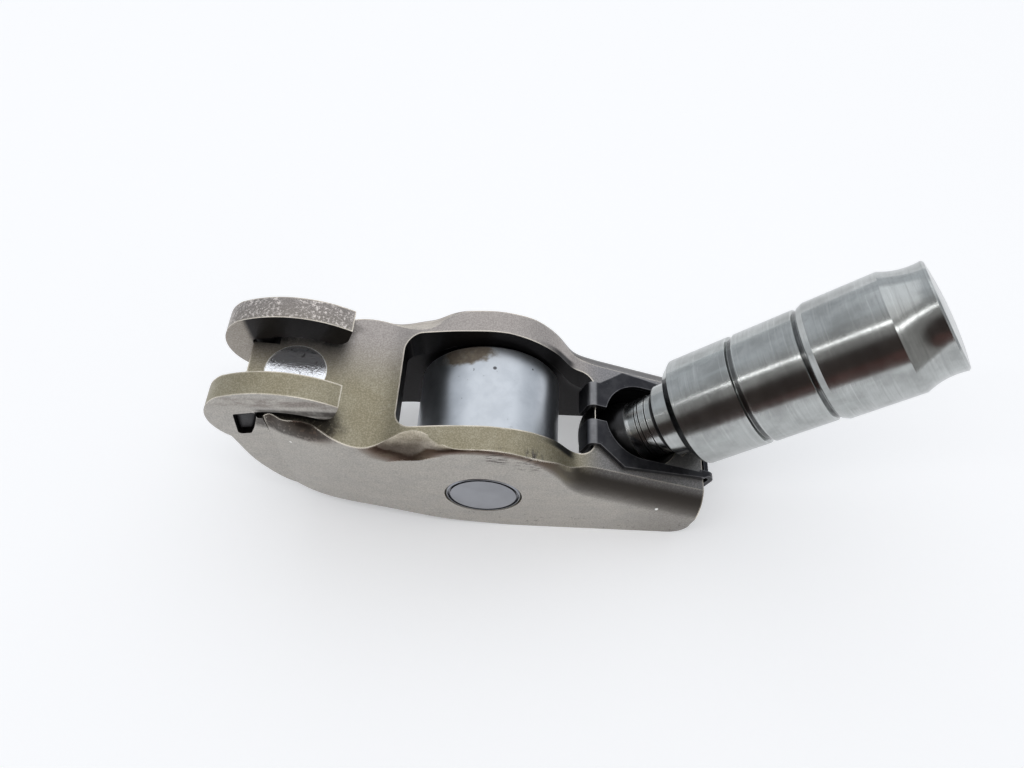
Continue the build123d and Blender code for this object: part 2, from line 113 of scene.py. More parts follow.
# ------------------------------------------------------------------ node graphs
class Graph:
    """Builds one node tree. Most calls add a node and return its main output."""

    def __init__(self, tree):
        self.tree = tree
        tree.nodes.clear()

    def add(self, kind, inputs=(), **settings):
        """Adds a node, applies its settings, then fills its inputs with values or links."""
        node = self.tree.nodes.new(kind)
        for key, value in settings.items():
            setattr(node, key, value)
        for key, value in dict(inputs).items():
            self.put(node.inputs[key], value)
        return node

    def put(self, socket, value):
        """Links a socket to another, or gives it a value."""
        if isinstance(value, bpy.types.NodeSocket):
            self.tree.links.new(value, socket)
        elif socket.type == "RGBA" and len(value) == 3:
            socket.default_value = (*value, 1.0)
        else:
            socket.default_value = value

    def math(self, operation, a, b=0.0, c=0.0):
        return self.add("ShaderNodeMath", {0: a, 1: b, 2: c}, operation=operation).outputs[0]

    def vector(self, operation, a, b=(0.0, 0.0, 0.0)):
        node = self.add("ShaderNodeVectorMath", {0: a, 1: b}, operation=operation)
        return node.outputs["Value"] if operation in ("DOT_PRODUCT", "LENGTH") else node.outputs[0]

    def split(self, vector):
        """The three parts of a vector."""
        return self.add("ShaderNodeSeparateXYZ", {0: vector}).outputs

    def noise(self, point, scale, detail=3.0, roughness=0.5, distortion=0.0):
        node = self.add("ShaderNodeTexNoise", {"Vector": point, "Scale": scale, "Detail": detail,
                                               "Roughness": roughness, "Distortion": distortion})
        return node.outputs["Fac"]

    def step(self, value, low, high, to_low=0.0, to_high=1.0):
        """Smooth ramp of a value between two limits."""
        node = self.add("ShaderNodeMapRange", {"Value": value, "From Min": low, "From Max": high,
                                               "To Min": to_low, "To Max": to_high},
                        interpolation_type="SMOOTHSTEP")
        return node.outputs["Result"]

    def within(self, value, low, high, soft):
        """1 where a value lies between two limits, with soft ends."""
        return self.all_of(self.step(value, low - soft, low), self.step(value, high, high + soft, 1.0, 0.0))

    def mix(self, share, a, b):
        """Colour a, turned into b by the share."""
        return self.add("ShaderNodeMix", {0: share, 6: a, 7: b}, data_type="RGBA").outputs[2]

    def layers(self, tint, *layers):
        """Lays colours over a tint one after another, each where its mask is 1."""
        for share, colour in layers:
            tint = self.mix(share, tint, colour)
        return tint

    def all_of(self, *shares):
        """Product of several masks."""
        total = shares[0]
        for share in shares[1:]:
            total = self.math("MULTIPLY", total, share)
        return total

    def any_of(self, *shares):
        """Largest of several masks."""
        total = shares[0]
        for share in shares[1:]:
            total = self.math("MAXIMUM", total, share)
        return total

    def bump(self, height, distance, strength=1.0, normal=None):
        inputs = {"Height": height, "Distance": distance, "Strength": strength}
        if normal is not None:
            inputs["Normal"] = normal
        return self.add("ShaderNodeBump", inputs).outputs["Normal"]

    def near(self, point, centre, reach, soft):
        """1 inside a ball about a point, fading to 0 over a soft rim."""
        away = self.vector("SUBTRACT", point, centre)
        return self.step(self.vector("LENGTH", away), reach, reach + soft, 1.0, 0.0)

    def dots(self, point, marks):
        """1 inside any of several small balls, given by centre, reach and soft rim in millimetres."""
        balls = (self.near(point, mm(*centre), *mm(reach, soft)) for centre, reach, soft in marks)
        return self.any_of(*balls)

    def patch(self, point, centre, half, ragged, scale):
        """1 inside a ragged oval patch with the half sizes given, 0 outside."""
        away = self.vector("SUBTRACT", point, centre)
        away = self.vector("DIVIDE", away, half)
        far = self.vector("LENGTH", away)
        rag = self.math("MULTIPLY_ADD", self.noise(point, scale, 4.0, 0.65), ragged, far)
        return self.step(rag, 0.75 + ragged / 2, 1.15 + ragged / 2, 1.0, 0.0)

    def outer_edge(self, reach):
        """Rises to 1 at outward edges of the piece, over a short reach."""
        node = self.add("ShaderNodeAmbientOcclusion", {"Distance": reach}, inside=True, only_local=True,
                        samples=8)
        return self.step(node.outputs["AO"], 0.50, 0.97, 1.0, 0.0)

    def hollow(self, reach):
        """Rises to 1 in the hollows and inner corners of the piece."""
        node = self.add("ShaderNodeAmbientOcclusion", {"Distance": reach}, only_local=True, samples=8)
        return self.step(node.outputs["AO"], 0.25, 0.85, 1.0, 0.0)

    def crease(self, reach):
        """1 along the sharp lines of the piece: there a rounded normal leaves the true one."""
        rounded = self.add("ShaderNodeBevel", {"Radius": reach}, samples=6).outputs[0]
        true = self.add("ShaderNodeNewGeometry").outputs["Normal"]
        return self.step(self.vector("DOT_PRODUCT", rounded, true), 0.997, 0.968)


class Finish(Graph):
    """The graph of one material. Its patterns lie in Object coordinates, which are metres in the frame."""

    def __init__(self, name):
        self.material = bpy.data.materials.new(name)
        self.material.use_nodes = True
        super().__init__(self.material.node_tree)
        self.point = self.add("ShaderNodeTexCoord").outputs["Object"]

    def done(self, metallic, tint, rough, normal):
        """Joins the graph to one Principled shader and returns the material."""
        shader = self.add("ShaderNodeBsdfPrincipled", {"Metallic": metallic, "Base Color": tint,
                                                       "Roughness": rough, "Normal": normal})
        self.add("ShaderNodeOutputMaterial", {"Surface": shader.outputs[0]})
        return self.material


# ------------------------------------------------------------------ the arm's finish
class ArmMasks:
    """Where each kind of wear, painted shade and painted highlight lies on the arm, as shares from 0 to 1.
    Noises are named for their look.
    """

    def __init__(self, g):
        self.x, self.y, self.z = g.split(g.point)
        facing = g.add("ShaderNodeTexCoord").outputs["Normal"]
        self.nx, self.ny, self.nz = g.split(facing)
        self.side = g.math("ABSOLUTE", self.y)
        self.outward = g.math("MULTIPLY", self.ny, g.math("SIGN", self.y))
        self.cloud = g.noise(g.point, 330.0, 4.0, 0.6)
        self.patchy = g.noise(g.point, 900.0, 4.0, 0.65)
        self.coarse = g.noise(g.point, 2300.0, 4.0, 0.75)
        self.fleck = g.noise(g.point, 3400.0, 4.0, 0.75)
        self.grain = g.noise(g.point, 4200.0, 3.0, 0.7)
        self.tooth = g.noise(g.point, 7000.0, 2.0, 0.6)
        self.streak = g.noise(g.vector("MULTIPLY", g.point, (1.0, 2.4, 2.4)), 380.0, 4.0, 0.6)
        self.regions(g)
        self.shoulder(g)
        self.under_hooks(g)
        self.crests(g)
        self.marks(g)
        self.skin(g)
        self.black_oil(g)
        self.contact_spot(g)

    def regions(self, g):
        self.far_side = g.step(self.y, *mm(-2.0, 6.0))
        self.socket_end = g.step(self.x, *mm(8.5, 12.5), 0.0, 0.85)
        self.wall_end = g.step(self.x, *mm(12.0, 21.0), 0.0, 0.40)
        self.on_wall = g.step(self.outward, 0.55, 0.9)

    def shoulder(self, g):
        """The rounded slope between the walls and the upper faces, with a painted dark reflection on it, and
        a painted highlight on the ridge along its top.
        """
        self.slope = g.all_of(g.step(self.outward, 0.22, 0.45), g.step(self.nz, 0.05, 0.30),
                              g.step(self.nz, 0.74, 0.92, 1.0, 0.0), g.step(self.x, *mm(-22.5, -20.5)))
        self.slope_film = g.all_of(self.slope, g.step(self.nz, 0.05, 0.55, 0.25, 0.90))
        self.heel = g.step(self.x, *mm(4.0, 9.0))
        self.film_gaps = g.all_of(g.step(self.streak, 0.42, 0.75, 0.0, 0.35),
                                  g.step(self.x, *mm(6.0, 3.0)))
        # painted highlight along the ridge of the shoulder
        self.ridge = g.all_of(g.step(self.outward, 0.15, 0.35), g.within(self.nz, 0.72, 0.90, 0.06),
                              g.within(self.x, *mm(-12.5, -4.5, 2.0)),
                              g.step(self.streak, 0.3, 0.6, 0.45, 0.9), 0.6)

    def under_hooks(self, g):
        """Painted shade, rough and mottled, in the dent under each hook; a darker lip of painted shade at the
        foot of the hook's outer face, and a band of painted dark reflection high on it.
        """
        mirrored = g.add("ShaderNodeCombineXYZ", {0: self.x, 1: self.side, 2: self.z}).outputs[0]
        dent = g.patch(mirrored, mm(-18.0, 6.0, 8.7), mm(4.6, 2.3, 1.5), 0.5, 800.0)
        self.dent = g.all_of(dent, g.step(self.z, *mm(10.6, 10.3)),
                             g.step(self.coarse, 0.50, 0.66, 0.86, 0.35))
        outer_face = g.step(self.side, *mm(5.3, 5.5))
        self.lip = g.all_of(outer_face, g.within(self.z, *mm(10.4, 10.9, 0.5)),
                            g.within(self.x, *mm(-20.8, -13.0, 0.9)), g.step(self.patchy, 0.3, 0.6, 0.6, 1.0))
        # painted shade under the hooks, nearly black
        self.burnt = g.any_of(self.dent, g.all_of(self.lip, 0.88))
        self.band = g.all_of(outer_face, g.within(self.z, *mm(11.9, 12.8, 0.6)),
                             g.step(self.streak, 0.35, 0.6), 0.45)

    def crests(self, g):
        """The hooks' sheared tops: granular, and on the far one dull with painted glints on its grains."""
        self.crest = g.all_of(g.step(self.z, *mm(11.5, 12.5)), g.step(self.nz, 0.25, 0.5),
                              g.step(self.x, *mm(-12.5, -13.0)))
        far_hook = g.step(self.y, *mm(0.0, 2.0))
        self.crest_dull = g.all_of(self.crest, far_hook, 0.38)
        self.crest_pits = g.all_of(self.crest, g.step(self.patchy, 0.36, 0.26, 0.0, 0.6))
        # painted glints on the far crest's grains
        self.torn = g.all_of(self.crest, g.step(self.fleck, 0.51, 0.60), g.step(self.cloud, 0.36, 0.52),
                             far_hook)

    def marks(self, g):
        """Pits all over, specks low on the walls, and a few scratches and chips on the near side."""
        pits = g.any_of(g.step(self.grain, 0.64, 0.74, 0.0, 0.45),
                        g.all_of(g.step(self.coarse, 0.66, 0.72), g.step(self.patchy, 0.45, 0.6), 0.8))
        belly = g.all_of(self.on_wall, g.step(self.coarse, 0.58, 0.64), g.step(self.patchy, 0.48, 0.6),
                         g.step(self.z, *mm(-5.0, -3.5), 1.0, 0.0), 0.7)
        line = g.noise(g.vector("MULTIPLY", g.point, (1.0, 1.0, 7.0)), 700.0, 3.0, 0.6, 0.4)
        scratches = g.all_of(g.step(line, 0.52, 0.58), 0.85, g.dots(g.point, NEAR_SCRATCHES))
        self.pits = g.any_of(pits, belly, scratches)
        self.chips = g.dots(g.point, NEAR_CHIPS)

    def skin(self, g):
        """The fine tooth of the tumbled skin, and a painted highlight along its sharp edges."""
        unshaded = g.math("SUBTRACT", 1.0, g.any_of(self.slope, self.dent, self.lip))
        self.tooth_dark = g.step(self.tooth, 0.40, 0.66, 0.0, 0.22)
        self.tooth_bright = g.all_of(g.step(self.tooth, 0.52, 0.36, 0.0, 0.12), unshaded)
        self.edge = g.crease(0.26 * MM)
        self.worn_edge = g.all_of(self.edge, g.step(self.nz, 0.0, 0.3),
                                  g.step(self.cloud, 0.32, 0.58, 0.40, 0.95))

    def black_oil(self, g):
        """Painted shade with black oil: inner faces, undersides, the window's ends, the relief slots, the
        socket and inner corners.
        """
        inner = g.all_of(g.step(self.outward, -0.45, -0.75), g.step(self.x, *mm(-24.2, -23.4)))
        under = g.step(self.nz, -0.25, -0.6)
        ends = g.all_of(g.step(g.math("ABSOLUTE", self.nx), 0.5, 0.8), g.step(self.side, *mm(6.0, 5.6)),
                        g.within(self.x, *mm(-10.0, 15.0, 0.2)))
        slots = g.all_of(g.step(g.math("ABSOLUTE", self.ny), 0.6, 0.3), g.step(self.side, *mm(2.9, 3.11)),
                         g.within(self.x, *mm(-24.4, -21.1, 0.1)), g.within(self.z, *mm(5.8, 10.6, 0.1)))
        socket = g.near(g.point, BALL, *mm(5.0, 0.6))
        corners = g.all_of(g.hollow(2.2 * MM), g.step(self.patchy, 0.25, 0.6, 0.55, 1.0))
        # painted shade with black oil, nearly black
        self.oil = g.all_of(g.any_of(inner, under, ends, slots, socket, corners), 0.96)

    def contact_spot(self, g):
        """The round spot that the valve stem has polished on the pad, a painted highlight on its rim, and its
        smudges.
        """
        away = g.vector("LENGTH", g.vector("SUBTRACT", g.point, mm(*PAD_SPOT)))
        self.spot = g.all_of(g.step(away, *mm(2.96, 3.02), 1.0, 0.0), g.step(self.nz, 0.9, 0.98))
        # painted highlight on the spot's rim
        self.rim = g.all_of(g.within(away, *mm(2.88, 3.04, 0.04)), g.step(self.nz, 0.5, 0.8))
        self.smudge = g.step(g.noise(g.point, 1300.0, 4.0, 0.7, 1.2), 0.60, 0.66, 0.0, 0.7)


def arm_steel(colours):
    """Tumbled, oiled and used steel: fine grain and cloudy tint, with painted highlights on edges, painted
    dark reflections on the shoulder, and painted shade with black oil in the hollows.
    """
    g = Finish("tumbled arm steel")
    at = ArmMasks(g)
    # upper faces: khaki, greyer and pinker on the far side, dark grey about the socket
    top = g.mix(g.step(at.cloud, 0.36, 0.66), colours.arm_khaki, colours.arm_pale)
    top = g.layers(top, (at.far_side, colours.arm_far), (at.socket_end, colours.arm_socket))
    # walls: pale, streaked along the arm, with a darker end at the socket
    wall = g.mix(g.step(at.streak, 0.35, 0.7), colours.arm_wall, colours.arm_wall_grey)
    wall = g.mix(at.wall_end, wall, colours.arm_dark)
    # painted dark reflection on the shoulder: brown, nearly black at the heel
    shoulder_reflection = g.mix(at.heel, colours.brown_film, colours.heel_film)
    shoulder_reflection = g.mix(at.film_gaps, shoulder_reflection, colours.arm_khaki)
    polish = g.mix(at.smudge, colours.spot, colours.arm_dark)
    # painted light among these layers: dark reflection on the shoulder, highlights on its ridge and sharp
    # edges, shade under the hooks, dark reflection high on their outer faces, glints on the far crest, black
    # shade with oil in the hollows, a highlight on the spot's rim
    tint = g.layers(g.mix(at.on_wall, top, wall),
                    (at.slope_film, shoulder_reflection),
                    (at.ridge, colours.arm_edge),
                    (at.burnt, colours.heel_film),
                    (at.band, colours.brown_film),
                    (at.crest_dull, colours.arm_dark),
                    (at.crest_pits, colours.arm_dark),
                    (at.torn, colours.arm_bright),
                    (at.pits, colours.arm_dark),
                    (at.chips, CHIP_WHITE),
                    (at.tooth_dark, colours.arm_dark),
                    (at.tooth_bright, colours.arm_bright),
                    (at.worn_edge, colours.arm_edge),
                    (at.oil, colours.oil),
                    (at.spot, polish),
                    (at.rim, SPOT_RIM_HIGHLIGHT))
    # glossier on edges and on the shoulder's slope, and a mirror on the contact spot
    rough = g.math("MULTIPLY_ADD", at.cloud, 0.12, 0.34)
    rough = g.math("MULTIPLY_ADD", at.patchy, 0.08, rough)
    rough = g.math("SUBTRACT", rough, g.all_of(at.edge, 0.12))
    rough = g.math("MULTIPLY_ADD", at.slope, -0.10, rough)
    rough = g.add("ShaderNodeMix", {0: at.spot, 2: rough, 3: 0.04}, data_type="FLOAT").outputs[0]
    normal = g.bump(at.grain, 0.020 * MM, 0.7)
    normal = g.bump(g.all_of(at.coarse, at.crest), 0.070 * MM, 0.9, normal)
    return g.done(0.9, tint, rough, normal)


# ------------------------------------------------------------------ other finishes
def plain_steel(name, colour, roughness):
    """Smooth steel with a faint grain, painted dark shade in its grooves and a slight painted highlight on
    its edges.
    """
    g = Finish(name)
    cloud = g.noise(g.point, 300.0, 3.0, 0.5)
    fine = g.noise(g.point, 2400.0, 2.0, 0.6)
    dull = tuple(channel * 0.86 for channel in colour)
    # worn: a lighter copy of the colour, painted as a highlight on the edges
    worn = tuple(min(1.0, channel * 1.35) for channel in colour)
    tint = g.layers(g.mix(g.step(cloud, 0.35, 0.7), colour, dull),
                    (g.all_of(g.outer_edge(0.10 * MM), 0.5), worn),
                    (g.all_of(g.hollow(0.45 * MM), 0.9), GROOVE_SHADE))
    rough = g.math("MULTIPLY_ADD", cloud, 0.1, roughness - 0.05)
    return g.done(1.0, tint, rough, g.bump(fine, 0.004 * MM, 0.6))


def roller_steel(colours):
    """Ground roller: faint lines round it, a brown oil stain, a few specks on the track and a painted
    highlight on its edges.
    """
    g = Finish("ground roller steel")
    y = g.split(g.point)[1]
    lines = g.noise(g.vector("MULTIPLY", g.point, (0.06, 1.0, 0.06)), 5200.0, 3.0, 0.6)
    cloud = g.noise(g.point, 420.0, 4.0, 0.6)
    fine = g.noise(g.point, 1600.0, 4.0, 0.7)
    stain = g.patch(g.point, mm(-2.4, 4.4, 7.0), mm(3.2, 1.5, 2.4), 0.9, 900.0)
    stain_tint = g.mix(g.step(fine, 0.42, 0.70), colours.stain, STAIN_PALE)
    scattered = g.all_of(g.step(fine, 0.68, 0.71), g.step(cloud, 0.5, 0.62))
    near_end = g.all_of(g.step(fine, 0.60, 0.66), g.step(y, *mm(-3.8, -4.6)), g.step(cloud, 0.42, 0.55))
    specks = g.any_of(g.dots(g.point, ROLLER_SPECKS), scattered, near_end)
    tint = g.layers(g.mix(g.step(cloud, 0.38, 0.66), colours.roller, colours.roller_dull),
                    (g.all_of(stain, g.step(cloud, 0.25, 0.5, 0.65, 0.95)), stain_tint),
                    (g.all_of(specks, 0.85), SPECK_BLACK),
                    (g.all_of(g.outer_edge(0.12 * MM), 0.6), ROLLER_EDGE_HIGHLIGHT))
    rough = g.math("MULTIPLY_ADD", lines, 0.12, 0.28)
    rough = g.math("MULTIPLY_ADD", stain, 0.22, rough)
    return g.done(1.0, tint, rough, g.bump(lines, 0.0012 * MM, 0.5))


def barrel_steel(name, colours, shaded_ball=False):
    """Turned and ground steel of the adjuster: fine lines round its axis, painted shade in the grooves, a
    painted highlight on its edges.
    """
    g = Finish(name)
    from_ball = g.vector("SUBTRACT", g.point, BALL)
    along = g.vector("DOT_PRODUCT", from_ball, AXIS)
    lengthways = g.add("ShaderNodeVectorMath", {0: AXIS, "Scale": along}, operation="SCALE").outputs[0]
    across = g.vector("SUBTRACT", from_ball, lengthways)
    # noise drawn out round the axis, and noise drawn out along it
    turned = g.vector("ADD", lengthways, g.vector("MULTIPLY", across, (0.020, 0.020, 0.020)))
    drawn = g.vector("ADD", across, g.vector("MULTIPLY", lengthways, (0.10, 0.10, 0.10)))
    lines = g.noise(turned, 4800.0, 5.0, 0.75)
    bands = g.noise(turned, 1500.0, 3.0, 0.6)
    strokes = g.noise(drawn, 900.0, 3.0, 0.6)
    cloud = g.noise(g.point, 300.0, 4.0, 0.6)
    grooves = g.any_of(*(g.within(along, *mm(low, high, 0.08)) for low, high in BARREL_GROOVES))
    # painted shade in the grooves and hollows, in the oil colour
    barrel_groove_shade = g.all_of(g.any_of(g.hollow(0.28 * MM), grooves), g.step(cloud, 0.3, 0.65, 0.92, 0.6))
    tint = g.layers(g.mix(g.step(cloud, 0.36, 0.68), colours.adjuster, colours.adjuster_dull),
                    (g.step(lines, 0.50, 0.68, 0.0, 0.60), colours.adjuster_dull),
                    (g.step(lines, 0.46, 0.30, 0.0, 0.35), BARREL_LINE),
                    (g.all_of(g.step(strokes, 0.50, 0.72), 0.30), BARREL_DRAWN),
                    (g.all_of(g.outer_edge(0.13 * MM), 0.6), BARREL_EDGE_HIGHLIGHT),
                    (barrel_groove_shade, colours.oil))
    rough = g.math("MULTIPLY_ADD", bands, 0.10, 0.09)
    # the ball end and neck: painted shade where the ball sits in the socket, with black oil, and a painted
    # highlight on the neck's rim
    if shaded_ball:
        neck = g.all_of(g.within(along, *mm(2.4, 5.0, 0.2)), g.step(cloud, 0.54, 0.66), 0.30)
        ball_shade_and_oil = g.any_of(g.step(along, *mm(1.7, 2.1), 1.0, 0.0), neck, g.within(along, *mm(4.9, 5.4, 0.1)))
        rim = g.within(along, *mm(1.85, 2.15, 0.1))
        tint = g.layers(tint, (g.all_of(ball_shade_and_oil, 0.94), colours.oil), (g.all_of(rim, 0.8), NECK_RIM_HIGHLIGHT))
        rough = g.math("MULTIPLY_ADD", ball_shade_and_oil, 0.15, rough)
    rough = g.math("MULTIPLY_ADD", lines, 0.10, rough)
    return g.done(1.0, tint, rough, g.bump(lines, 0.0042 * MM, 0.65))


def slot_shade_finish(colours):
    """Painted shade made solid for the slot lumps: black, lumpy, with a dull gloss and a few paler crusts."""
    g = Finish("black slot shade")
    lumps = g.noise(g.point, 1900.0, 4.0, 0.65)
    crust = g.noise(g.point, 3600.0, 3.0, 0.7)
    tint = g.mix(g.step(crust, 0.60, 0.74, 0.0, 0.5), colours.oil, SLOT_SHADE_CRUST)
    return g.done(0.0, tint, g.math("MULTIPLY_ADD", lumps, 0.3, 0.38), g.bump(lumps, 0.060 * MM, 0.9))


def clip_finish(colours):
    """Blackened spring steel: satin, with painted highlights on its edges and along its fold, and a fine
    grain.
    """
    g = Finish("blackened clip steel")
    x = g.split(g.point)[0]
    cloud = g.noise(g.point, 500.0, 4.0, 0.6)
    grain = g.noise(g.point, 3600.0, 3.0, 0.6)
    fold_highlight = g.all_of(g.within(x, *mm(10.8, 11.3, 0.3)), g.step(cloud, 0.25, 0.6, 0.5, 0.9))
    tint = g.layers(g.mix(g.step(cloud, 0.38, 0.66), colours.clip, colours.clip_worn),
                    (g.all_of(g.outer_edge(0.13 * MM), g.step(cloud, 0.3, 0.6, 0.3, 0.9)), CLIP_EDGE_HIGHLIGHT),
                    (g.step(grain, 0.64, 0.74, 0.0, 0.4), CLIP_GRAIN),
                    (fold_highlight, CLIP_FOLD_HIGHLIGHT))
    return g.done(0.75, tint, g.math("MULTIPLY_ADD", cloud, 0.14, 0.27), g.bump(grain, 0.006 * MM, 0.5))


# ------------------------------------------------------------------ meshes
def new_object(name, data):
    obj = bpy.data.objects.new(name, data)
    bpy.context.scene.collection.objects.link(obj)
    return obj


def shade_smooth(mesh):
    mesh.polygons.foreach_set("use_smooth", np.ones(len(mesh.polygons), dtype=bool))


def set_material(obj, material):
    obj.data.materials.clear()
    obj.data.materials.append(material)
    for polygon in obj.data.polygons:
        polygon.material_index = 0


def skin_of(node, body, material, name, sharp_angle=32.0):
    """A smooth piece that stands for a solid, its corners merged; edges over the angle stay sharp."""
    solid = frame["nodes"][node].data
    points = np.empty(len(solid.vertices) * 3)
    solid.vertices.foreach_get("co", points)
    points = points.reshape(-1, 3)
    corners = np.empty(len(solid.loops), np.int64)
    solid.loops.foreach_get("vertex_index", corners)
    cells = np.round(points / MERGE_DISTANCE)
    _, first, merged = np.unique(cells, axis=0, return_index=True, return_inverse=True)
    faces = merged.reshape(-1)[corners].reshape(-1, 3)
    whole = (faces[:, 0] != faces[:, 1]) & (faces[:, 1] != faces[:, 2]) & (faces[:, 2] != faces[:, 0])
    mesh = bpy.data.meshes.new(name)
    mesh.from_pydata(points[first], [], faces[whole])
    shade_smooth(mesh)
    mesh.set_sharp_from_angle(angle=math.radians(sharp_angle))
    obj = new_object(name, mesh)
    set_material(obj, material)
    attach(obj, body)
    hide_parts(node)


def slot_shade_lump(name, low_y, high_y):
    """Painted shade in one hook's relief slot, made as one closed black lump.

    Formula: the slot's outline is resampled evenly to p(v), then carried across from low_y to high_y. At the
    share t of the way it is scaled about its own centre by k(t) = overlap * (1 - (2 t - 1) ** 8) ** 0.5, so
    both ends close in a shallow dome, and the overlap presses the lump against the slot's walls.
    """
    around, rows, overlap = 48, 25, 1.01
    corners = np.array(SLOT_OUTLINE + SLOT_OUTLINE[:1]) * MM
    run = np.concatenate([[0.0], np.cumsum(np.linalg.norm(np.diff(corners, axis=0), axis=1))])
    at = np.linspace(0.0, run[-1], around, endpoint=False)
    outline = np.stack([np.interp(at, run, corners[:, 0]), np.interp(at, run, corners[:, 1])], axis=1)
    centre = outline.mean(axis=0)
    t = 0.5 - 0.5 * np.cos(np.linspace(0.0, math.pi, rows))
    k = overlap * np.sqrt(np.clip(1.0 - (2.0 * t - 1.0) ** 8, 0.0, 1.0))
    ring = centre + k[:, None, None] * (outline - centre)
    y = np.broadcast_to((low_y + (high_y - low_y) * t)[:, None], ring.shape[:2]) * MM
    points = np.stack([ring[..., 0], y, ring[..., 1]], axis=-1).reshape(-1, 3)
    i, j = np.meshgrid(np.arange(rows - 1), np.arange(around), indexing="ij")
    here, above = i * around, (i + 1) * around
    right = (j + 1) % around
    faces = np.stack([here + j, above + j, above + right, here + right], axis=-1)
    mesh = bpy.data.meshes.new(name)
    mesh.from_pydata(points.tolist(), [], faces.reshape(-1, 4).tolist())
    work = bmesh.new()
    work.from_mesh(mesh)
    bmesh.ops.remove_doubles(work, verts=work.verts, dist=0.1 * MERGE_DISTANCE)
    bmesh.ops.recalc_face_normals(work, faces=work.faces)
    work.to_mesh(mesh)
    work.free()
    shade_smooth(mesh)
    piece = new_object(name, mesh)
    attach(piece, "arm")
    return piece


# ------------------------------------------------------------------ stage
def soft_light(name, place, aim, size, power):
    """A rectangular lamp at a place, turned to face its aim."""
    lamp = bpy.data.lights.new(name, "AREA")
    lamp.shape = "RECTANGLE"
    lamp.size, lamp.size_y = size
    lamp.energy = power
    turn = (Vector(aim) - Vector(place)).to_track_quat("-Z", "Y")
    new_object(name, lamp).matrix_world = Matrix.Translation(place) @ turn.to_matrix().to_4x4()


def lay_floor(stage):
    """A pale floor, shaded by the lamps and lifted towards white where the camera or a reflection sees it."""
    reach = 3.0
    corners = [(x * reach, y * reach, stage.floor_height) for x, y in ((-1, -1), (1, -1), (1, 1), (-1, 1))]
    mesh = bpy.data.meshes.new("floor")
    mesh.from_pydata(corners, [], [(0, 1, 2, 3)])
    floor = new_object("floor", mesh)
    g = Finish("pale floor")
    path = g.add("ShaderNodeLightPath")
    seen = g.math("MAXIMUM", path.outputs["Is Camera Ray"], path.outputs["Is Glossy Ray"])
    matte = g.add("ShaderNodeBsdfDiffuse", {"Color": tuple(stage.floor_colour)})
    away = g.step(g.vector("LENGTH", g.point), 0.12, 0.9, stage.floor_lift, 0.95)
    strength = g.math("MULTIPLY", seen, away)
    lift = g.add("ShaderNodeEmission", {"Color": FLOOR_WHITE, "Strength": strength})
    total = g.add("ShaderNodeAddShader", {0: matte.outputs[0], 1: lift.outputs[0]})
    g.add("ShaderNodeOutputMaterial", {"Surface": total.outputs[0]})
    floor.data.materials.append(g.material)


def light_room(scene, stage):
    """A pale room with a dark brown card low in front, reddish on its right, and two lamps.

    The camera itself sees plain white.
    """
    scene.world = bpy.data.worlds.new("soft room")
    scene.world.use_nodes = True
    g = Graph(scene.world.node_tree)
    direction = g.add("ShaderNodeTexCoord").outputs["Generated"]
    shaded = g.vector("DOT_PRODUCT", direction, TO_SHADED_WALL)
    card = g.vector("DOT_PRODUCT", direction, TO_CARD)
    glow = g.vector("DOT_PRODUCT", direction, TO_GLOW)
    seen = g.add("ShaderNodeLightPath").outputs["Is Camera Ray"]
    room = g.layers(g.mix(g.step(shaded, -0.10, 0.75), PALE_WALL, SHADED_WALL),
                    (g.step(card, 0.80, 0.92), CARD_BROWN),
                    (g.step(glow, 0.962, 0.985, 0.0, 0.8), GLOW_RED),
                    (seen, WHITE))
    strength = g.math("MULTIPLY_ADD", seen, 1.0 - stage.sky, stage.sky)
    background = g.add("ShaderNodeBackground", {"Color": room, "Strength": strength})
    g.add("ShaderNodeOutputWorld", {"Surface": background.outputs[0]})
    soft_light("strip", place=(-0.15, -0.105, 0.42), aim=(-0.15, 0.0, 0.0), size=(0.80, 0.026),
               power=stage.strip_power)
    soft_light("overhead", place=(0.05, 0.30, 0.50), aim=(0.0, 0.0, 0.0), size=(0.9, 0.7),
               power=stage.key_power)


def place_camera(scene, stage):
    """Stands the camera in front of and above the part."""
    camera = new_object("camera", bpy.data.cameras.new("camera"))
    camera.data.lens = stage.lens
    camera.data.sensor_width = 36.0
    camera.data.clip_start = 0.005
    camera.data.clip_end = 10.0
    right = Vector(CAMERA_RIGHT)
    back = Vector(CAMERA_BACK)
    back = (back - right * back.dot(right)).normalized()
    up = back.cross(right)
    axes = Matrix((right, up, back)).transposed().to_4x4()
    camera.matrix_world = Matrix.Translation(stage.camera_place) @ axes
    scene.camera = camera


# ------------------------------------------------------------------ settings
def colour_setting(name, description, default):
    return bpy.props.FloatVectorProperty(name=name, description=description, default=default,
                                         subtype="COLOR", size=3, min=0.0, max=1.0)


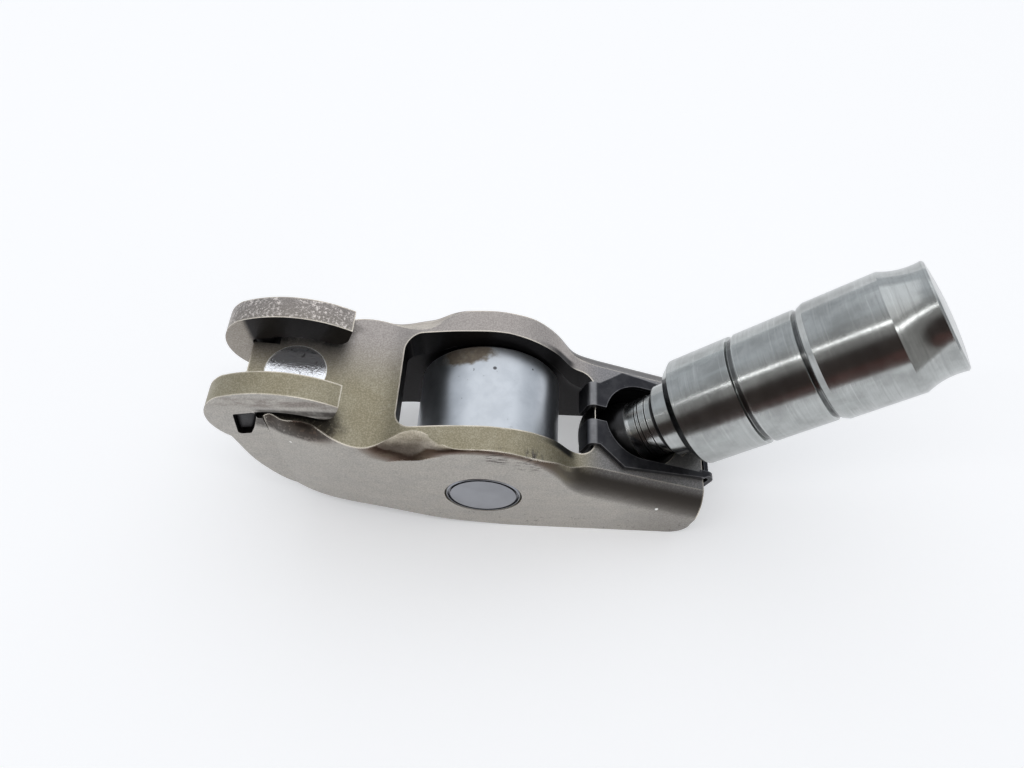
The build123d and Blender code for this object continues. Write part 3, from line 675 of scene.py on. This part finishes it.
class RockerColours(bpy.types.PropertyGroup):
    arm_khaki: colour_setting("Arm", "Tumbled steel on the arm's upper faces", (0.310, 0.276, 0.186))
    arm_pale: colour_setting("Arm, pale", "Paler clouds on the arm", (0.360, 0.326, 0.232))
    arm_far: colour_setting("Arm, far side", "The greyer, pinker far side", (0.42, 0.385, 0.365))
    arm_socket: colour_setting("Arm, socket end", "Dark grey about the socket", (0.25, 0.25, 0.265))
    arm_wall: colour_setting("Arm, walls", "The arm's side walls", (0.50, 0.475, 0.435))
    arm_wall_grey: colour_setting("Arm, streaks", "Greyer streaks along the walls", (0.455, 0.435, 0.405))
    arm_dark: colour_setting("Arm, pits", "Pits and specks in the arm", (0.07, 0.06, 0.055))
    # painted glints on the far crest use this colour, besides the real bright grains of the skin
    arm_bright: colour_setting("Arm, grains and glints", "Bright grains, and painted glints on the hooks' crests", (0.80, 0.74, 0.70))
    # painted highlights on sharp edges and on the shoulder's ridge
    arm_edge: colour_setting("Arm, edge highlights", "Painted highlights on edges and on the shoulder's ridge", (0.88, 0.81, 0.70))
    # painted dark reflection on the shoulder's slope and high on the hooks' outer faces
    brown_film: colour_setting("Brown reflection", "Painted dark reflection on the shoulder's slope and the hooks' outer faces", (0.105, 0.060, 0.040))
    # painted dark reflection on the heel, and painted shade under the hooks
    heel_film: colour_setting("Heel shade", "Painted near-black reflection on the heel and shade under the hooks", (0.050, 0.043, 0.037))
    # painted shade with old black oil: hollows, grooves, the ball end and the slot lumps
    oil: colour_setting("Black shade and oil", "Painted shade and old oil in the hollows", (0.014, 0.013, 0.015))
    spot: colour_setting("Contact spot", "Face polished by the valve stem", (0.90, 0.91, 0.95))
    roller: colour_setting("Roller", "Ground roller steel", (0.60, 0.63, 0.67))
    roller_dull: colour_setting("Roller, dull", "Duller clouds on the roller", (0.53, 0.56, 0.60))
    stain: colour_setting("Roller stain", "Burnt oil on the roller", (0.185, 0.150, 0.115))
    axle: colour_setting("Axle", "Axle end face", (0.33, 0.34, 0.37))
    clip: colour_setting("Clip", "Blackened spring clip", (0.022, 0.022, 0.027))
    clip_worn: colour_setting("Clip, worn", "Worn patches of the clip", (0.045, 0.045, 0.050))
    adjuster: colour_setting("Adjuster", "Ground adjuster barrel", (0.44, 0.455, 0.45))
    adjuster_dull: colour_setting("Adjuster, dull", "Duller clouds on the barrel", (0.32, 0.33, 0.325))


class RockerStage(bpy.types.PropertyGroup):
    lens: bpy.props.FloatProperty(
        name="Lens", description="Focal length of the camera", default=27.74, min=5.0, max=300.0,
        unit="CAMERA")
    camera_place: bpy.props.FloatVectorProperty(
        name="Camera", description="Where the camera stands", default=(0.00455, -0.04161, 0.07508),
        size=3, unit="LENGTH")
    floor_height: bpy.props.FloatProperty(
        name="Floor", description="Height of the floor", default=-0.0076, unit="LENGTH")
    floor_colour: colour_setting("Floor", "Pale floor", (0.80, 0.81, 0.83))
    floor_lift: bpy.props.FloatProperty(
        name="Floor lift", description="Extra white of the floor where it is seen", default=0.37,
        min=0.0, max=1.0)
    strip_power: bpy.props.FloatProperty(
        name="Strip light", description="Power of the long strip light overhead", default=0.40,
        min=0.0, unit="POWER")
    key_power: bpy.props.FloatProperty(
        name="Key light", description="Power of the large soft light", default=0.9, min=0.0, unit="POWER")
    sky: bpy.props.FloatProperty(
        name="Sky", description="Strength of the surrounding light", default=0.8, min=0.0, max=4.0)


# ------------------------------------------------------------------ operators
class ROCKER_OT_arm(bpy.types.Operator):
    """Finishes the pressed arm body"""
    bl_idname = "rocker.arm"
    bl_label = "Arm Body"

    def execute(self, context):
        finish = arm_steel(context.scene.rocker_colours)
        skin_of("arm_body", "arm", finish, "arm_skin", 14.0)
        return {"FINISHED"}


class ROCKER_OT_slot_shade(bpy.types.Operator):
    """Fills the relief slot of each hook with a black lump of painted shade"""
    bl_idname = "rocker.grime"
    bl_label = "Slot Shade"

    def execute(self, context):
        finish = slot_shade_finish(context.scene.rocker_colours)
        for name, (low_y, high_y) in SLOT_SHADE_SPANS.items():
            set_material(slot_shade_lump(name, low_y, high_y), finish)
        return {"FINISHED"}


class ROCKER_OT_roller(bpy.types.Operator):
    """Finishes the roller, its axle and its needles"""
    bl_idname = "rocker.roller"
    bl_label = "Roller and Axle"

    def execute(self, context):
        colours = context.scene.rocker_colours
        skin_of("cam_roller", "roller", roller_steel(colours), "roller_skin", 20.0)
        axle_finish = plain_steel("axle steel", tuple(colours.axle), 0.3)
        skin_of("roller_axle", "arm", axle_finish, "axle_skin")
        needle_finish = plain_steel("needle steel", NEEDLE_STEEL, 0.2)
        for name in frame["nodes"]:
            if name.startswith("needle_roller"):
                set_material(frame["nodes"][name], needle_finish)
        return {"FINISHED"}


class ROCKER_OT_clip(bpy.types.Operator):
    """Finishes the retaining clip"""
    bl_idname = "rocker.clip"
    bl_label = "Retaining Clip"

    def execute(self, context):
        finish = clip_finish(context.scene.rocker_colours)
        skin_of("retaining_clip", "arm", finish, "clip_skin")
        return {"FINISHED"}


class ROCKER_OT_adjuster(bpy.types.Operator):
    """Finishes the lash adjuster"""
    bl_idname = "rocker.adjuster"
    bl_label = "Lash Adjuster"

    def execute(self, context):
        colours = context.scene.rocker_colours
        barrel = barrel_steel("ground barrel steel", colours)
        skin_of("adjuster_housing", "barrel", barrel, "housing_skin", 22.0)
        plunger = barrel_steel("turned plunger steel", colours, shaded_ball=True)
        skin_of("ball_plunger", "ball_end", plunger, "ball_plunger_skin", 22.0)
        inner = plain_steel("inner steel", INNER_STEEL, 0.3)
        for name in ("retaining_ring", "leakdown_piston", "check_ball", "check_valve_cage", "check_spring",
                     "return_spring"):
            set_material(frame["nodes"][name], inner)
        return {"FINISHED"}


class ROCKER_OT_stage(bpy.types.Operator):
    """Sets the floor, lights, sky and camera"""
    bl_idname = "rocker.stage"
    bl_label = "Stage"

    def execute(self, context):
        scene = context.scene
        lay_floor(scene.rocker_stage)
        light_room(scene, scene.rocker_stage)
        place_camera(scene, scene.rocker_stage)
        scene.view_settings.view_transform = "Standard"
        return {"FINISHED"}


class ROCKER_PT_panel(bpy.types.Panel):
    """Lists the pieces of the rocker arm"""
    bl_idname = "ROCKER_PT_panel"
    bl_label = "Rocker Arm"
    bl_space_type = "VIEW_3D"
    bl_region_type = "UI"
    bl_category = "Rocker Arm"

    def draw(self, context):
        column = self.layout.column(align=True)
        for operator in OPERATORS:
            column.operator(operator.bl_idname)


OPERATORS = (ROCKER_OT_arm, ROCKER_OT_slot_shade, ROCKER_OT_roller, ROCKER_OT_clip, ROCKER_OT_adjuster,
             ROCKER_OT_stage)
CLASSES = (RockerColours, RockerStage, *OPERATORS, ROCKER_PT_panel)


def register():
    for cls in CLASSES:
        bpy.utils.register_class(cls)
    bpy.types.Scene.rocker_colours = bpy.props.PointerProperty(type=RockerColours)
    bpy.types.Scene.rocker_stage = bpy.props.PointerProperty(type=RockerStage)


def unregister():
    del bpy.types.Scene.rocker_stage
    del bpy.types.Scene.rocker_colours
    for cls in reversed(CLASSES):
        bpy.utils.unregister_class(cls)


def main():
    register()
    for group, name in (operator.bl_idname.split(".") for operator in OPERATORS):
        getattr(getattr(bpy.ops, group), name)()


if __name__ == "__main__":
    main()
